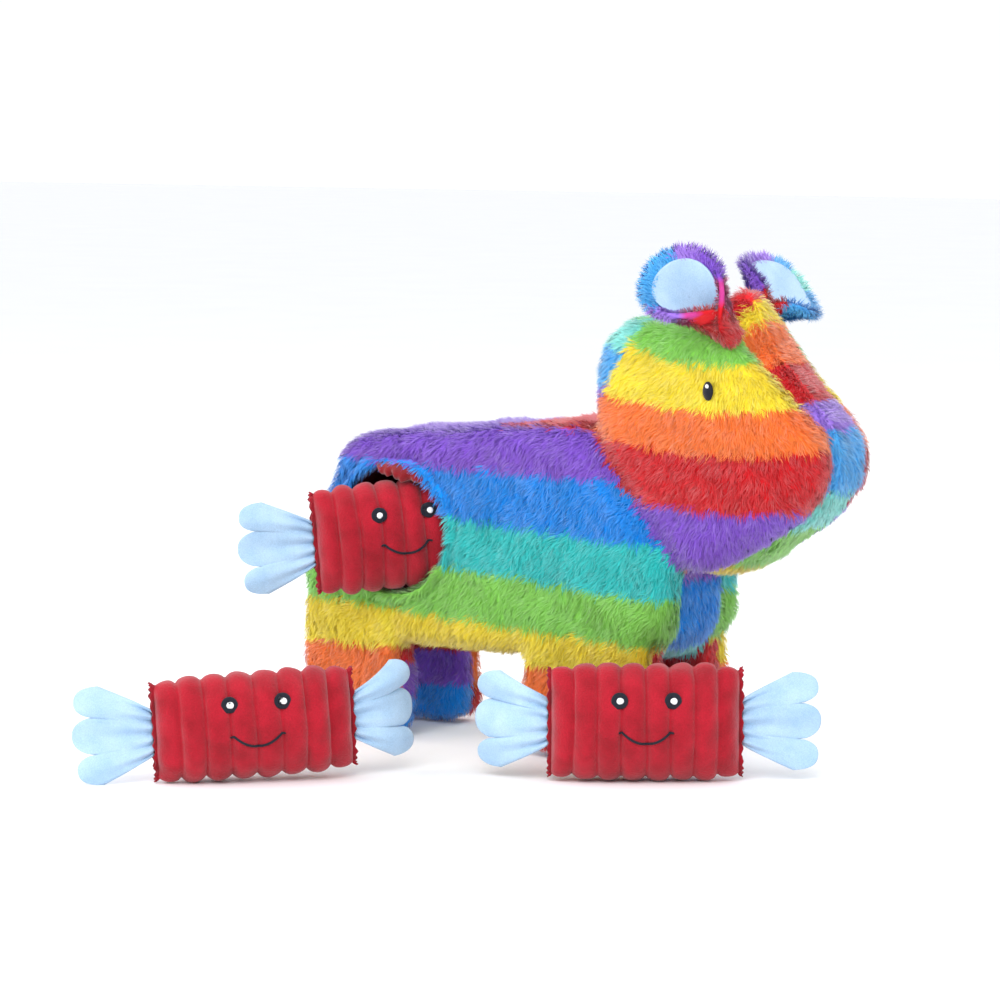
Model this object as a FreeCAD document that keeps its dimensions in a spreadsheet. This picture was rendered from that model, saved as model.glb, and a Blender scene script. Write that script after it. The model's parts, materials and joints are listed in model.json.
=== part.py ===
"""Stuffed donkey with a pocket in its flank and three stuffed sweets, as a parametric document.

Model axes while the parts are built, in millimetres: +X from the rump to the nose, +Y to the
donkey's left, +Z up from the floor, with X zero at the rump. The finished pieces are moved
together so that the middle of the whole set's footprint is the origin.
"""
import FreeCAD
import Part

import math
import os

import Sketcher

Vector = FreeCAD.Vector
X_AXIS = Vector(1, 0, 0)
Y_AXIS = Vector(0, 1, 0)
Z_AXIS = Vector(0, 0, 1)

# name: (value, what it is)
SIZES = {
    "skin": (5, "plush cloth with its pressed pile"),
    "torso_width": (86, "side to side over the flanks"),
    "torso_corner": (26, "rounding of the side outline"),
    "torso_rim": (14, "rounding from the flank to the back"),
    "rump_bulge_height": (95, "height of the roundest point of the rump"),
    "rump_lean": (26, "how far the top of the rump leans forward"),
    "rump_height": (156, "floor to the back above the rump"),
    "withers_reach": (174, "rump to the withers"),
    "withers_height": (169, "floor to the withers"),
    "chest_reach": (224, "rump to the top of the chest"),
    "chest_height": (107, "floor to the top of the chest"),
    "chest_tuck": (5, "how far the chest falls back at the belly"),
    "belly_height": (48, "floor to the belly"),
    "leg_thickness": (28, "side to side through one leg"),
    "outer_leg_skin": (9, "part of the leg's thickness that the side panel covers"),
    "rear_leg_length": (64, "front to back of a rear leg"),
    "front_leg_length": (79, "front to back of a front leg"),
    "front_leg_inset": (5, "chest to the front of the front leg"),
    "foot_corner": (12, "rounding of the foot's outline"),
    "leg_rim": (9, "rounding of the leg's edges"),
    "leg_root": (30, "how far the leg's form runs up inside the torso"),
    "gusset_overlap": (4, "how far the belly and chest gussets run onto each leg's root"),
    "rump_gusset_width": (28, "gusset down the rump"),
    "gusset_end": (32, "how far the rump and chest gussets run along the belly"),
    "nape_back": (3, "nape behind the withers"),
    "nape_rise": (27, "nape above the withers"),
    "crown_start": (8, "back of the crown ahead of the withers"),
    "crown_rise": (53, "crown above the withers"),
    "crown_reach": (72, "front of the crown ahead of the withers"),
    "brow_reach": (104, "brow ahead of the withers"),
    "brow_rise": (19, "brow above the withers"),
    "bridge_reach": (124, "bridge of the nose ahead of the withers"),
    "bridge_drop": (3, "bridge of the nose below the withers"),
    "nose_reach": (127, "nose ahead of the withers"),
    "nose_drop": (29, "nose below the withers"),
    "lip_reach": (112, "lip ahead of the withers"),
    "lip_drop": (47, "lip below the withers"),
    "throat_reach": (70, "throat ahead of the withers"),
    "throat_drop": (77, "throat below the withers"),
    "neck_reach": (38, "front of the neck's root ahead of the withers"),
    "neck_drop": (73, "front of the neck's root below the withers"),
    "neck_sink": (17, "back of the neck's root below the withers"),
    "head_width": (78, "side to side over the cheeks"),
    "head_corner": (27, "rounding of the head's outline"),
    "head_rim": (19, "rounding from the cheek to the gusset"),
    "head_gusset_width": (48, "strip over the nape, forehead and chin"),
    "nose_gusset_width": (31, "the same strip at the nose"),
    "nose_gusset_shift": (10, "how far to the left the strip is sewn at the nose"),
    "crown_seam": (44, "seam between nape and forehead strips ahead of the withers"),
    "eye_reach": (70, "eye ahead of the withers"),
    "eye_rise": (17, "eye above the withers"),
    "eye_length": (10, "embroidered eye, tall way"),
    "eye_breadth": (6.4, "embroidered eye, narrow way"),
    "stitch": (1, "height of the embroidery"),
    "highlight": (1.8, "diameter of the white stitch in an eye"),
    "ear_radius": (24, "round of the ear"),
    "ear_cloth": (7, "plush back of the ear"),
    "ear_lining_cloth": (1.6, "smooth lining of the ear"),
    "ear_border": (6, "plush left showing round the lining"),
    "ear_tab": (14, "width of the sewn tab at the ear's base"),
    "ear_gap": (3, "ear's sewn line to the end of its tab"),
    "mouth_reach": (61, "rump to the middle of the pocket's mouth"),
    "mouth_height": (109, "floor to the middle of the pocket's mouth"),
    "mouth_clearance": (5.6, "play above and below a sweet in the mouth"),
    "lining": (1.5, "pocket lining cloth"),
    "mouth_neck": (2, "cloth tube between the panel and the pouch"),
    "pouch_rear_pad": (24, "rump to the pouch"),
    "pouch_length": (146, "pouch front to back"),
    "pouch_floor_pad": (14, "belly to the pouch"),
    "pouch_roof_pad": (12, "back, over the rump, down to the pouch"),
    "pouch_far_pad": (9, "far flank to the pouch"),
    "pouch_corner": (20, "rounding of the pouch"),
    "pocket_sweet_length": (89, "body of the sweet in the pocket, end to end"),
    "pocket_sweet_height": (56, "its body top to bottom"),
    "front_sweet_length": (93, "body of the sweet by the front leg"),
    "front_sweet_height": (57, "its body top to bottom"),
    "rear_sweet_length": (97, "body of the sweet by the rear leg"),
    "rear_sweet_height": (52, "its body top to bottom"),
    "sweet_thickness": (36, "corduroy body through the face"),
    "sweet_cloth": (1.5, "corduroy"),
    "sweet_end_drop": (5, "end seam's ends inside the body's top and bottom"),
    "sweet_end_thickness": (5, "end seam through the face"),
    "sweet_eye": (7.4, "embroidered eye of a sweet"),
    "sweet_eye_spacing": (25.5, "between the eyes of a sweet"),
    "sweet_eye_rise": (12.5, "eyes above the middle of a sweet"),
    "sweet_smile": (26, "smile end to end"),
    "sweet_smile_sag": (5, "smile ends down to its middle"),
    "sweet_smile_drop": (2, "smile ends below the middle of a sweet"),
    "sweet_smile_line": (1.5, "width of the smile's stitching"),
    "frill_length": (40, "wrapper frill"),
    "frill_root": (26, "frill at the seam"),
    "frill_tip": (44, "frill across its lobes"),
    "frill_rise": (4.5, "frill's middle above the middle of the seam"),
    "frill_thickness": (6, "room that the frill's pleats take"),
    "frill_gap": (0.4, "frill's rolled root to the end seam"),
    "squeaker_radius": (12, "squeaker bulb"),
    "squeaker_depth": (14, "squeaker bulb through the face"),
    "squeaker_wall": (1, "squeaker bulb wall"),
    "reed_radius": (4, "reed plug"),
    "reed_length": (6, "reed plug"),
    "pocket_sweet_heading": (46, "degrees from ahead towards the donkey's left"),
    "pocket_sweet_tilt": (5, "degrees, inner end up"),
    "pocket_sweet_pushed_in": (3, "middle of the sweet inside the middle of the mouth"),
    "pocket_sweet_sag": (3, "sweet below the middle of the mouth"),
    "front_sweet_heading": (34, "degrees"),
    "front_sweet_tilt": (0, "degrees, front end up"),
    "front_sweet_reach": (227, "rump to the middle of the front sweet"),
    "front_sweet_gap": (23, "flank to the middle of the front sweet"),
    "rear_sweet_heading": (45, "degrees"),
    "rear_sweet_tilt": (3, "degrees, front end up"),
    "rear_sweet_reach": (71, "rump to the middle of the rear sweet"),
    "rear_sweet_gap": (127, "flank to the middle of the rear sweet"),
}

# Where each ear's base is sewn: ahead of the crown's front corner, in from the cheek and up from
# the crown; then the way the ear points and the way its lining faces.
EARS = {
    "right": ((7, 6.5, -9), (-12, -9, 14), (0.5, -0.8, 0.33)),
    "left": ((-11, 9, -2), (-3, 15, 7), (0.75, -0.3, 0.6)),
}

# Stations of the sweet's body: share of half its length, of its half thickness and half height.
BODY_STATIONS = ((-0.94, 0.52, 0.93), (-0.75, 0.84, 0.98), (-0.38, 0.98, 1.0), (0.0, 1.0, 1.0),
                 (0.38, 0.98, 1.0), (0.75, 0.84, 0.98), (0.94, 0.52, 0.93))

doc = FreeCAD.newDocument("stuffed_donkey")
sheet = doc.addObject("Spreadsheet::Sheet", "Sizes")
parts = {}


def fill_sheet():
    """One row per size: its name, its value under an alias, and what it is."""
    for row, (name, (value, meaning)) in enumerate(SIZES.items(), start=1):
        sheet.set(f"A{row}", name)
        sheet.set(f"B{row}", str(value))
        sheet.setAlias(f"B{row}", name)
        sheet.set(f"C{row}", meaning)
    doc.recompute()


def size(name):
    """The sheet's value, for shapes made in code."""
    return float(sheet.get(name))


def bind(obj, **expressions):
    """Ties properties to the sheet; an underscore in a name stands for a dot."""
    for path, expression in expressions.items():
        obj.setExpression(path.replace("__", "."), expression)


def words(expression):
    """Lets an outline say withers_reach + 8 for Sizes.withers_reach + 8."""
    out = []
    for word in expression.split():
        out.append(f"Sizes.{word}" if word in SIZES else word)
    return " ".join(out)


def new_body(name):
    return doc.addObject("PartDesign::Body", name)


def origin_plane(body, role):
    return next(o for o in body.Origin.OriginFeatures if o.Role == role)


def new_sketch(body, name, plane):
    sketch = body.newObject("Sketcher::SketchObject", name)
    sketch.AttachmentSupport = [(origin_plane(body, plane), "")]
    sketch.MapMode = "FlatFace"
    return sketch


def draw_outline(sketch, corners):
    """A closed outline whose corners are held to the sheet's sizes."""
    places = []
    for ahead, up in corners:
        places.append((float(sheet.evalExpression(words(ahead))),
                       float(sheet.evalExpression(words(up)))))
    count = len(corners)
    for i, place in enumerate(places):
        following = places[(i + 1) % count]
        sketch.addGeometry(Part.LineSegment(Vector(*place, 0), Vector(*following, 0)), False)
    for i in range(count):
        sketch.addConstraint(Sketcher.Constraint("Coincident", i, 2, (i + 1) % count, 1))
    for i, (corner, place) in enumerate(zip(corners, places)):
        for kind, expression, value in (("DistanceX", corner[0], place[0]),
                                        ("DistanceY", corner[1], place[1])):
            index = sketch.addConstraint(Sketcher.Constraint(kind, -1, 1, i, 1, value))
            sketch.setExpression(f"Constraints[{index}]", words(expression))


def edges_across(shape):
    """Straight edges that run side to side."""
    found = []
    for number, edge in enumerate(shape.Edges, start=1):
        ends = [v.Point for v in edge.Vertexes]
        if len(ends) == 2 and (ends[0] - ends[1]).cross(Y_AXIS).Length < 1e-6:
            found.append(f"Edge{number}")
    return found


def edges_round_sides(shape):
    """Edges that border the two side faces."""
    low, high = shape.BoundBox.YMin, shape.BoundBox.YMax
    found = []
    for number, edge in enumerate(shape.Edges, start=1):
        box = edge.BoundBox
        flat = box.YMax - box.YMin < 1e-5
        if flat and (abs(box.YMin - low) < 1e-5 or abs(box.YMax - high) < 1e-5):
            found.append(f"Edge{number}")
    return found


def stuffed_form(name, corners, width, corner, rim):
    """A side outline padded to its width, rounded at its corners and then along its rims."""
    body = new_body(name)
    sketch = new_sketch(body, name + "_outline", "XZ_Plane")
    draw_outline(sketch, corners)
    pad = body.newObject("PartDesign::Pad", name + "_pad")
    pad.Profile = sketch
    pad.Midplane = True
    bind(pad, Length=words(width))
    doc.recompute()
    rounded = body.newObject("PartDesign::Fillet", name + "_corners")
    rounded.Base = (pad, edges_across(pad.Shape))
    bind(rounded, Radius=words(corner))
    doc.recompute()
    softened = body.newObject("PartDesign::Fillet", name + "_rims")
    softened.Base = (rounded, edges_round_sides(rounded.Shape))
    bind(softened, Radius=words(rim))
    doc.recompute()
    return body


def core_of(form):
    """The room left inside a form by its cloth."""
    core = doc.addObject("Part::Offset", form.Name + "_core")
    core.Source = form
    bind(core, Value="-Sizes.skin")
    doc.recompute()
    return core


def cut(name, base, tool):
    result = doc.addObject("Part::Cut", name)
    result.Base = base
    result.Tool = tool
    return result


def common(name, base, tool):
    result = doc.addObject("Part::Common", name)
    result.Base = base
    result.Tool = tool
    return result


def fuse(name, *shapes):
    result = doc.addObject("Part::MultiFuse", name)
    result.Shapes = list(shapes)
    return result


def box(name, x, length, y, width, z, height):
    """A box from its low corner and its extents, each an expression."""
    result = doc.addObject("Part::Box", name)
    bind(result, Length=words(length), Width=words(width), Height=words(height),
         Placement__Base__x=words(x), Placement__Base__y=words(y), Placement__Base__z=words(z))
    return result


def tapering_strip(name, start, end, start_width, end_width, end_shift, height):
    """A tall strip along X that narrows from its start to its end and drifts to the left."""
    result = doc.addObject("Part::Wedge", name)
    result.Placement.Rotation = FreeCAD.Rotation(Z_AXIS, -90)
    bind(result, Ymin=words(start), Ymax=words(end),
         Xmin=words(f"-1 * {start_width} / 2"), Xmax=words(f"{start_width} / 2"),
         X2min=words(f"-1 * {end_width} / 2 - {end_shift}"),
         X2max=words(f"{end_width} / 2 - {end_shift}"),
         Zmin=words("0"), Z2min=words("0"), Zmax=words(height), Z2max=words(height))
    return result


def keep(node, obj):
    """Names a finished piece; its label is its file's name."""
    obj.Label = node
    parts[node] = obj
    return obj


def torso_and_legs():
    """The outer forms of the torso and the four legs, and the room inside each."""
    torso = stuffed_form(
        "torso", (("0", "belly_height"), ("0", "rump_bulge_height"),
                  ("rump_lean", "rump_height"), ("withers_reach", "withers_height"),
                  ("chest_reach", "chest_height"),
                  ("chest_reach - chest_tuck", "belly_height")),
        "torso_width", "torso_corner", "torso_rim")
    top = "belly_height + leg_root"
    spans = {
        "rear": ("0", "rear_leg_length"),
        "front": ("chest_reach - chest_tuck - front_leg_inset - front_leg_length",
                  "chest_reach - chest_tuck - front_leg_inset"),
    }
    legs = {}
    for place, (back, front) in spans.items():
        for side, sign in (("right", "-"), ("left", "")):
            leg = stuffed_form(
                f"{place}_{side}_leg",
                ((back, "0"), (back, top), (front, top), (front, "0")),
                "leg_thickness", "foot_corner", "leg_rim")
            fill = stuffed_form(
                f"{place}_{side}_leg_inside",
                ((back + " + skin", "skin"), (back + " + skin", top + " - skin"),
                 (front + " - skin", top + " - skin"), (front + " - skin", "skin")),
                "leg_thickness - 2 * skin", "foot_corner - skin", "leg_rim - skin")
            for form in (leg, fill):
                bind(form,
                     Placement__Base__y=words(f"{sign}1 * ( torso_width - leg_thickness ) / 2"))
            legs[place, side] = (leg, fill)
    doc.recompute()
    return torso, legs


def head_form():
    """The head's outer form; its root lies inside the torso, which trims it."""
    return stuffed_form(
        "head",
        (("withers_reach - nape_back", "withers_height + nape_rise"),
         ("withers_reach + crown_start", "withers_height + crown_rise"),
         ("withers_reach + crown_reach", "withers_height + crown_rise"),
         ("withers_reach + brow_reach", "withers_height + brow_rise"),
         ("withers_reach + bridge_reach", "withers_height - bridge_drop"),
         ("withers_reach + nose_reach", "withers_height - nose_drop"),
         ("withers_reach + lip_reach", "withers_height - lip_drop"),
         ("withers_reach + throat_reach", "withers_height - throat_drop"),
         ("withers_reach + neck_reach", "withers_height - neck_drop"),
         ("withers_reach - nape_back", "withers_height - neck_sink")),
        "head_width", "head_corner", "head_rim")


def pouch_shapes():
    """The pocket's outside, with the tube to its mouth, and the hollow that holds the sweets."""
    wall = size("torso_width") / 2
    lining = size("lining")
    near = -(wall - size("skin") - size("mouth_neck"))
    far = wall - size("pouch_far_pad")
    floor = size("belly_height") + size("pouch_floor_pad")
    roof = size("rump_height") - size("pouch_roof_pad")
    back = size("pouch_rear_pad")
    front = back + size("pouch_length")
    mouth = Vector(size("mouth_reach"), -wall, size("mouth_height"))

    def rounded_box(inset):
        low = Vector(back + inset, near + inset, floor + inset)
        block = Part.makeBox(front - back - 2 * inset, far - near - 2 * inset,
                             roof - floor - 2 * inset, low)
        soft = [e for e in block.Edges
                if min(v.Point.y for v in e.Vertexes) > low.y + 1e-6
                or abs(e.Vertexes[0].Point.y - e.Vertexes[1].Point.y) > 1e-6]
        return block.makeFillet(size("pouch_corner") - inset, soft)

    def tube(radius, depth):
        return Part.makeCylinder(radius, depth, mouth, Y_AXIS)

    radius = mouth_radius()
    neck = size("skin") + size("mouth_neck")
    outside = rounded_box(0).fuse(tube(radius, neck + lining / 2))
    hollow = rounded_box(lining).fuse(tube(radius - lining, neck + 2 * lining))
    return outside, hollow


def mouth_radius():
    """Round the sweet's tall way, with play and the lining."""
    return size("pocket_sweet_height") / 2 + size("mouth_clearance") + size("lining")


def feature(name, shape):
    """A document object for a shape made in code."""
    result = doc.addObject("Part::Feature", name)
    result.Shape = shape
    return result


def donkey_covers(torso, torso_core, legs, head, head_core):
    """The plush panels and gussets of the torso, the legs and the head."""
    far = "4 * torso_width"
    half = "torso_width / 2"
    torso_shell = cut("torso_shell", torso, torso_core)
    open_shell = cut("torso_shell_open_at_neck", torso_shell, head_core)
    between = "( torso_width - 2 * leg_thickness + 2 * gusset_overlap )"
    gussets = {
        "rump_gusset": box("rump_gusset_zone", "-1 * skin", "skin + gusset_end",
                           "-1 * rump_gusset_width / 2", "rump_gusset_width",
                           "0", "rump_bulge_height + torso_corner"),
        "belly_gusset": box("belly_gusset_zone", "gusset_end",
                            "chest_reach - chest_tuck - 2 * gusset_end",
                            f"-1 * {between} / 2", between, "0",
                            "belly_height + 2 * skin"),
        "chest_gusset": box("chest_gusset_zone", "chest_reach - chest_tuck - gusset_end",
                            "2 * gusset_end", f"-1 * {between} / 2", between, "0",
                            "chest_height"),
    }
    for node, zone in gussets.items():
        trimmed = common(node + "_full", open_shell, zone)
        keep(node, cut(node, trimmed, head))
    zones = fuse("gusset_zones", *gussets.values())
    flanks = cut("flanks", open_shell, zones)
    mouth = doc.addObject("Part::Cylinder", "mouth_cutter")
    mouth.Placement = FreeCAD.Placement(Vector(0, 0, 0), FreeCAD.Rotation(X_AXIS, -90))
    bind(mouth, Height="Sizes.skin * 2", Placement__Base__x="Sizes.mouth_reach",
         Placement__Base__z="Sizes.mouth_height", Placement__Base__y="-Sizes.torso_width / 2",
         Radius=words("pocket_sweet_height / 2 + mouth_clearance + lining"))
    for side, start in (("right", "-2 * torso_width"), ("left", "0 * torso_width")):
        sign = "-" if side == "right" else ""
        room = box(f"{side}_half", "-1 * torso_width", "8 * torso_width", start,
                   "2 * torso_width", "0", far)
        pieces = [common(f"{side}_flank", flanks, room)]
        outer_start = f"-1 * {half}" if side == "right" else f"{half} - outer_leg_skin"
        outer = box(f"{side}_outer_leg_zone", "-1 * torso_width", "8 * torso_width",
                    outer_start, "outer_leg_skin", "0", far)
        for place in ("rear", "front"):
            leg, core = legs[place, side]
            shell = cut(f"{place}_{side}_leg_shell", cut(leg.Name + "_hollow", leg, core), torso)
            pieces.append(common(f"{place}_{side}_outer_leg", shell, outer))
            keep(f"{place}_{side}_inner_leg_panel",
                 cut(f"{place}_{side}_inner_leg", shell, outer))
            keep(f"{place}_{side}_leg_stuffing",
                 cut(f"{place}_{side}_leg_fill", core, torso))
        panel = fuse(f"{side}_side_whole", *pieces)
        if side == "right":
            panel = cut("right_side_with_mouth", panel, mouth)
        keep(f"{side}_side_panel", panel)
    doc.recompute()


def head_covers(torso, torso_core, head, head_core):
    """Two cheeks, the strip over forehead, nose and chin, the nape strip, and the stuffing."""
    wide = "8 * torso_width"
    hollow = cut("head_hollow", head, head_core)
    shell = cut("head_shell", hollow, torso)
    crown = "withers_reach + crown_reach"
    strip = fuse("head_strip_zone",
                 box("nape_to_crown_zone", "0", crown, "-1 * head_gusset_width / 2",
                     "head_gusset_width", "0", wide),
                 tapering_strip("crown_to_nose_zone", crown, "withers_reach + nose_reach + skin",
                                "head_gusset_width", "nose_gusset_width",
                                "nose_gusset_shift", wide))
    cheeks = cut("cheeks", shell, strip)
    middle = common("head_strip", shell, strip)
    behind = box("nape_zone", "0", "withers_reach + crown_seam", "-1 * torso_width",
                 "2 * torso_width", "chest_height", wide)
    for side, start in (("right", "-2 * torso_width"), ("left", "0 * torso_width")):
        room = box(f"{side}_cheek_zone", "0", wide, start, "2 * torso_width", "0", wide)
        keep(f"{side}_head_panel", common(f"{side}_cheek", cheeks, room))
    keep("nape_gusset", common("nape", middle, behind))
    keep("head_gusset", cut("forehead_and_chin", middle, behind))
    keep("head_stuffing", cut("head_fill", head_core, torso_core))
    doc.recompute()


def pocket(torso_core):
    """The pouch sewn into the mouth, and the body's stuffing round it."""
    outside, hollow = pouch_shapes()
    keep("pocket_lining", feature("pouch", outside.cut(hollow)))
    keep("body_stuffing", cut("body_fill", torso_core, feature("pouch_room", outside)))
    doc.recompute()


def donkey_eyes():
    """An embroidered oval with one white stitch, on each cheek."""
    cheek = size("head_width") / 2
    place = Vector(size("withers_reach") + size("eye_reach"), 0,
                   size("withers_height") + size("eye_rise"))
    for side, sign in (("right", -1), ("left", 1)):
        out = Vector(0, sign, 0)
        base = place + out * cheek
        oval = Part.Ellipse(base, size("eye_length") / 2, size("eye_breadth") / 2)
        oval.Axis = out
        oval.XAxis = Z_AXIS
        face = Part.Face(Part.Wire([oval.toShape()]))
        keep(f"{side}_eye", feature(f"{side}_eye_patch", face.extrude(out * size("stitch"))))
        glint = Part.makeCylinder(size("highlight") / 2, size("stitch") / 2,
                                  base + out * size("stitch") + Vector(0.8, 0, 1.4), out)
        keep(f"{side}_eye_highlight", feature(f"{side}_glint", glint))


def ear(side):
    """A round plush ear with a smooth lining, built flat: +X from its base, +Z out of the lining."""
    radius, cloth = size("ear_radius"), size("ear_cloth")
    base = size("ear_gap")
    middle = Vector(base + radius, 0, -cloth / 2)
    disc = Part.makeCylinder(radius, cloth, middle)
    disc = disc.makeFillet(cloth * 0.4, disc.Edges)
    tab = Part.makeBox(radius, size("ear_tab"), cloth * 0.6,
                       Vector(base, -size("ear_tab") / 2, -cloth * 0.3))
    back = disc.fuse(tab).removeSplitter()
    lining_middle = Vector(base + radius, 0, cloth / 2)
    lining = Part.makeCylinder(radius - size("ear_border"), size("ear_lining_cloth"),
                               lining_middle)
    (ahead, inward, up), points, faces = EARS[side]
    lengthways = Vector(*points).normalize()
    facing = Vector(*faces)
    facing = (facing - lengthways * facing.dot(lengthways)).normalize()
    across = facing.cross(lengthways)
    turn = FreeCAD.Rotation(lengthways, across, facing, "ZXY")
    seat = Vector(size("withers_reach") + size("crown_reach") + ahead,
                  math.copysign(size("head_width") / 2 - inward, points[1]),
                  size("withers_height") + size("crown_rise") + up)
    place = FreeCAD.Placement(seat, turn)
    for node, shape in ((f"{side}_ear_back", back), (f"{side}_ear_lining", lining)):
        piece = feature(node + "_shape", shape)
        piece.Placement = place
        keep(node, piece)


def sweet_body(name, inset):
    """The pillow of a sweet, lofted through ovals; a larger inset gives the layer inside it."""
    half_length = size(name + "_length") / 2 - inset
    half_deep = size("sweet_thickness") / 2
    half_tall = size(name + "_height") / 2
    end = (size("sweet_end_thickness") / 2, half_tall - size("sweet_end_drop"))
    rings = [(-half_length, *end)]
    for along, deep, tall in BODY_STATIONS:
        rings.append((along * half_length, deep * half_deep, tall * half_tall))
    rings.append((half_length, *end))
    wires = []
    for x, deep, tall in rings:
        oval = Part.Ellipse(Vector(x, 0, 0), tall - inset, deep - inset)
        oval.Axis = X_AXIS
        oval.XAxis = Z_AXIS
        wires.append(Part.Wire([oval.toShape()]))
    return Part.makeLoft(wires, True)


def sweet_face(body, raised):
    """Two round eyes and a smile, as a layer of stitching on the front."""
    front = size("sweet_thickness")
    layer = raised.cut(body)
    pieces = []
    for sign in (-1, 1):
        pin = Part.makeCylinder(size("sweet_eye") / 2, front,
                                Vector(sign * size("sweet_eye_spacing") / 2, 0,
                                       size("sweet_eye_rise")), -Y_AXIS)
        pieces.append(layer.common(pin))
    reach, sag = size("sweet_smile") / 2, size("sweet_smile_sag")
    radius = (reach ** 2 + sag ** 2) / (2 * sag)
    centre = Vector(0, 0, radius - sag - size("sweet_smile_drop"))
    line = size("sweet_smile_line") / 2
    spread = math.degrees(math.asin(reach / radius))
    ring = Part.makeCylinder(radius + line, front, centre, -Y_AXIS)
    ring = ring.cut(Part.makeCylinder(radius - line, front, centre, -Y_AXIS))
    wedge = Part.makePolygon([centre, centre + Vector(-3 * radius * math.tan(math.radians(spread)),
                                                      0, -3 * radius),
                              centre + Vector(3 * radius * math.tan(math.radians(spread)),
                                              0, -3 * radius), centre])
    ring = ring.common(Part.Face(wedge).extrude(-Y_AXIS * front))
    pieces.append(layer.common(ring))
    return Part.makeCompound([s for p in pieces for s in p.Solids])


def sweet_glints(raised, top):
    """The white stitch in each eye of a sweet."""
    layer = top.cut(raised)
    pieces = []
    for sign in (-1, 1):
        pin = Part.makeCylinder(size("highlight") * 0.7, size("sweet_thickness"),
                                Vector(sign * size("sweet_eye_spacing") / 2, 0,
                                       size("sweet_eye_rise") + 0.6), -Y_AXIS)
        pieces.append(layer.common(pin))
    return Part.makeCompound([s for p in pieces for s in p.Solids])


def frill(name, sign):
    """A wrapper end: a rolled root that turns beside the seam, and a fan with three lobes."""
    roll = size("frill_thickness") / 2
    start = size(name + "_length") / 2 + size("frill_gap") + roll
    root, tip = size("frill_root") / 2, size("frill_tip") / 2
    lobe = tip / 3
    shoulder = start + size("frill_length") - roll - lobe
    edge = [Vector(start, 0, -root), Vector(shoulder, 0, -tip)]
    sides = [Part.LineSegment(*edge)]
    for step in (-2, 0, 2):
        low = Vector(shoulder, 0, (step - 1) * lobe)
        high = Vector(shoulder, 0, (step + 1) * lobe)
        sides.append(Part.Arc(low, Vector(shoulder + lobe, 0, step * lobe), high))
    sides.append(Part.LineSegment(Vector(shoulder, 0, tip), Vector(start, 0, root)))
    sides.append(Part.LineSegment(Vector(start, 0, root), edge[0]))
    fan = Part.Face(Part.Wire([s.toShape() for s in sides])).extrude(Y_AXIS * 2 * roll)
    fan.translate(Vector(0, -roll, 0))
    bead = Part.makeCylinder(roll, 2 * root, Vector(start, 0, -root), Z_AXIS)
    whole = fan.fuse(bead).removeSplitter()
    whole.translate(Z_AXIS * size("frill_rise"))
    if sign < 0:
        whole = whole.mirror(Vector(0, 0, 0), X_AXIS)
    return whole


def squeaker():
    """A hollow plastic bulb and the reed plug pressed into its rim."""
    radius, wall = size("squeaker_radius"), size("squeaker_wall")
    depth = size("squeaker_depth")
    bulb = Part.makeCylinder(radius, depth, Vector(0, -depth / 2, 0), Y_AXIS)
    bulb = bulb.makeFillet(depth * 0.3, bulb.Edges)
    room = Part.makeCylinder(radius - wall, depth - 2 * wall, Vector(0, wall - depth / 2, 0),
                             Y_AXIS)
    room = room.makeFillet(depth * 0.3 - wall, room.Edges)
    reed = Part.makeCylinder(size("reed_radius"), size("reed_length"),
                             Vector(radius - size("reed_length") / 2, 0, 0), X_AXIS)
    air = Part.makeCylinder(size("reed_radius") / 3, size("reed_length"),
                            Vector(radius - size("reed_length") / 2, 0, 0), X_AXIS)
    return bulb.cut(room).cut(reed), reed.cut(air), bulb.fuse(reed)


def sweet(name, place):
    """One stuffed sweet: +X along it, +Z its height and its face towards -Y before it is placed."""
    cloth, stitch = size("sweet_cloth"), size("stitch") * 0.8
    body, inside = sweet_body(name, 0), sweet_body(name, cloth)
    raised, top = sweet_body(name, -stitch), sweet_body(name, -1.5 * stitch)
    bulb, reed, squeaker_room = squeaker()
    shapes = {
        "cover": body.cut(inside),
        "stuffing": inside.cut(squeaker_room),
        "squeaker_bulb": bulb,
        "squeaker_reed": reed,
        "face_stitching": sweet_face(body, raised),
        "eye_highlights": sweet_glints(raised, top),
        "rear_frill": frill(name, -1),
        "front_frill": frill(name, 1),
    }
    for piece, shape in shapes.items():
        made = feature(f"{name}_{piece}_shape", shape)
        made.Placement = place
        keep(f"{name}_{piece}", made)


def resting_height(name, turn):
    """Height of a sweet's middle when its body, turned this way, lies on the floor."""
    body = sweet_body(name, 0)
    body.Placement = FreeCAD.Placement(Vector(0, 0, 0), turn)
    return -body.optimalBoundingBox(False, False).ZMin


def sweets():
    """One sweet half out of the pocket and two on the floor beside the donkey."""
    flank = -size("torso_width") / 2
    middles = {}
    heading = math.radians(size("pocket_sweet_heading"))
    pushed_in = size("pocket_sweet_pushed_in")
    middles["pocket_sweet"] = Vector(
        size("mouth_reach") + pushed_in * math.cos(heading),
        flank + (size("skin") + size("mouth_neck")) / 2 + pushed_in * math.sin(heading),
        size("mouth_height") - size("pocket_sweet_sag"))
    turns = {}
    for name in ("pocket_sweet", "front_sweet", "rear_sweet"):
        turns[name] = FreeCAD.Rotation(size(name + "_heading"), -size(name + "_tilt"), 0)
    for name in ("front_sweet", "rear_sweet"):
        middles[name] = Vector(size(name + "_reach"), flank - size(name + "_gap"),
                               resting_height(name, turns[name]))
    for name, turn in turns.items():
        sweet(name, FreeCAD.Placement(middles[name], turn))


def to_footprint_middle():
    """Moves every piece so that the origin is under the middle of the whole set, on the floor."""
    whole = FreeCAD.BoundBox()
    for piece in parts.values():
        whole.add(piece.Shape.optimalBoundingBox(False, False))
    shift = Vector(-whole.Center.x, -whole.Center.y, -whole.ZMin)
    for piece in parts.values():
        place = piece.Placement
        piece.Placement = FreeCAD.Placement(place.Base + shift, place.Rotation)


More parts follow.
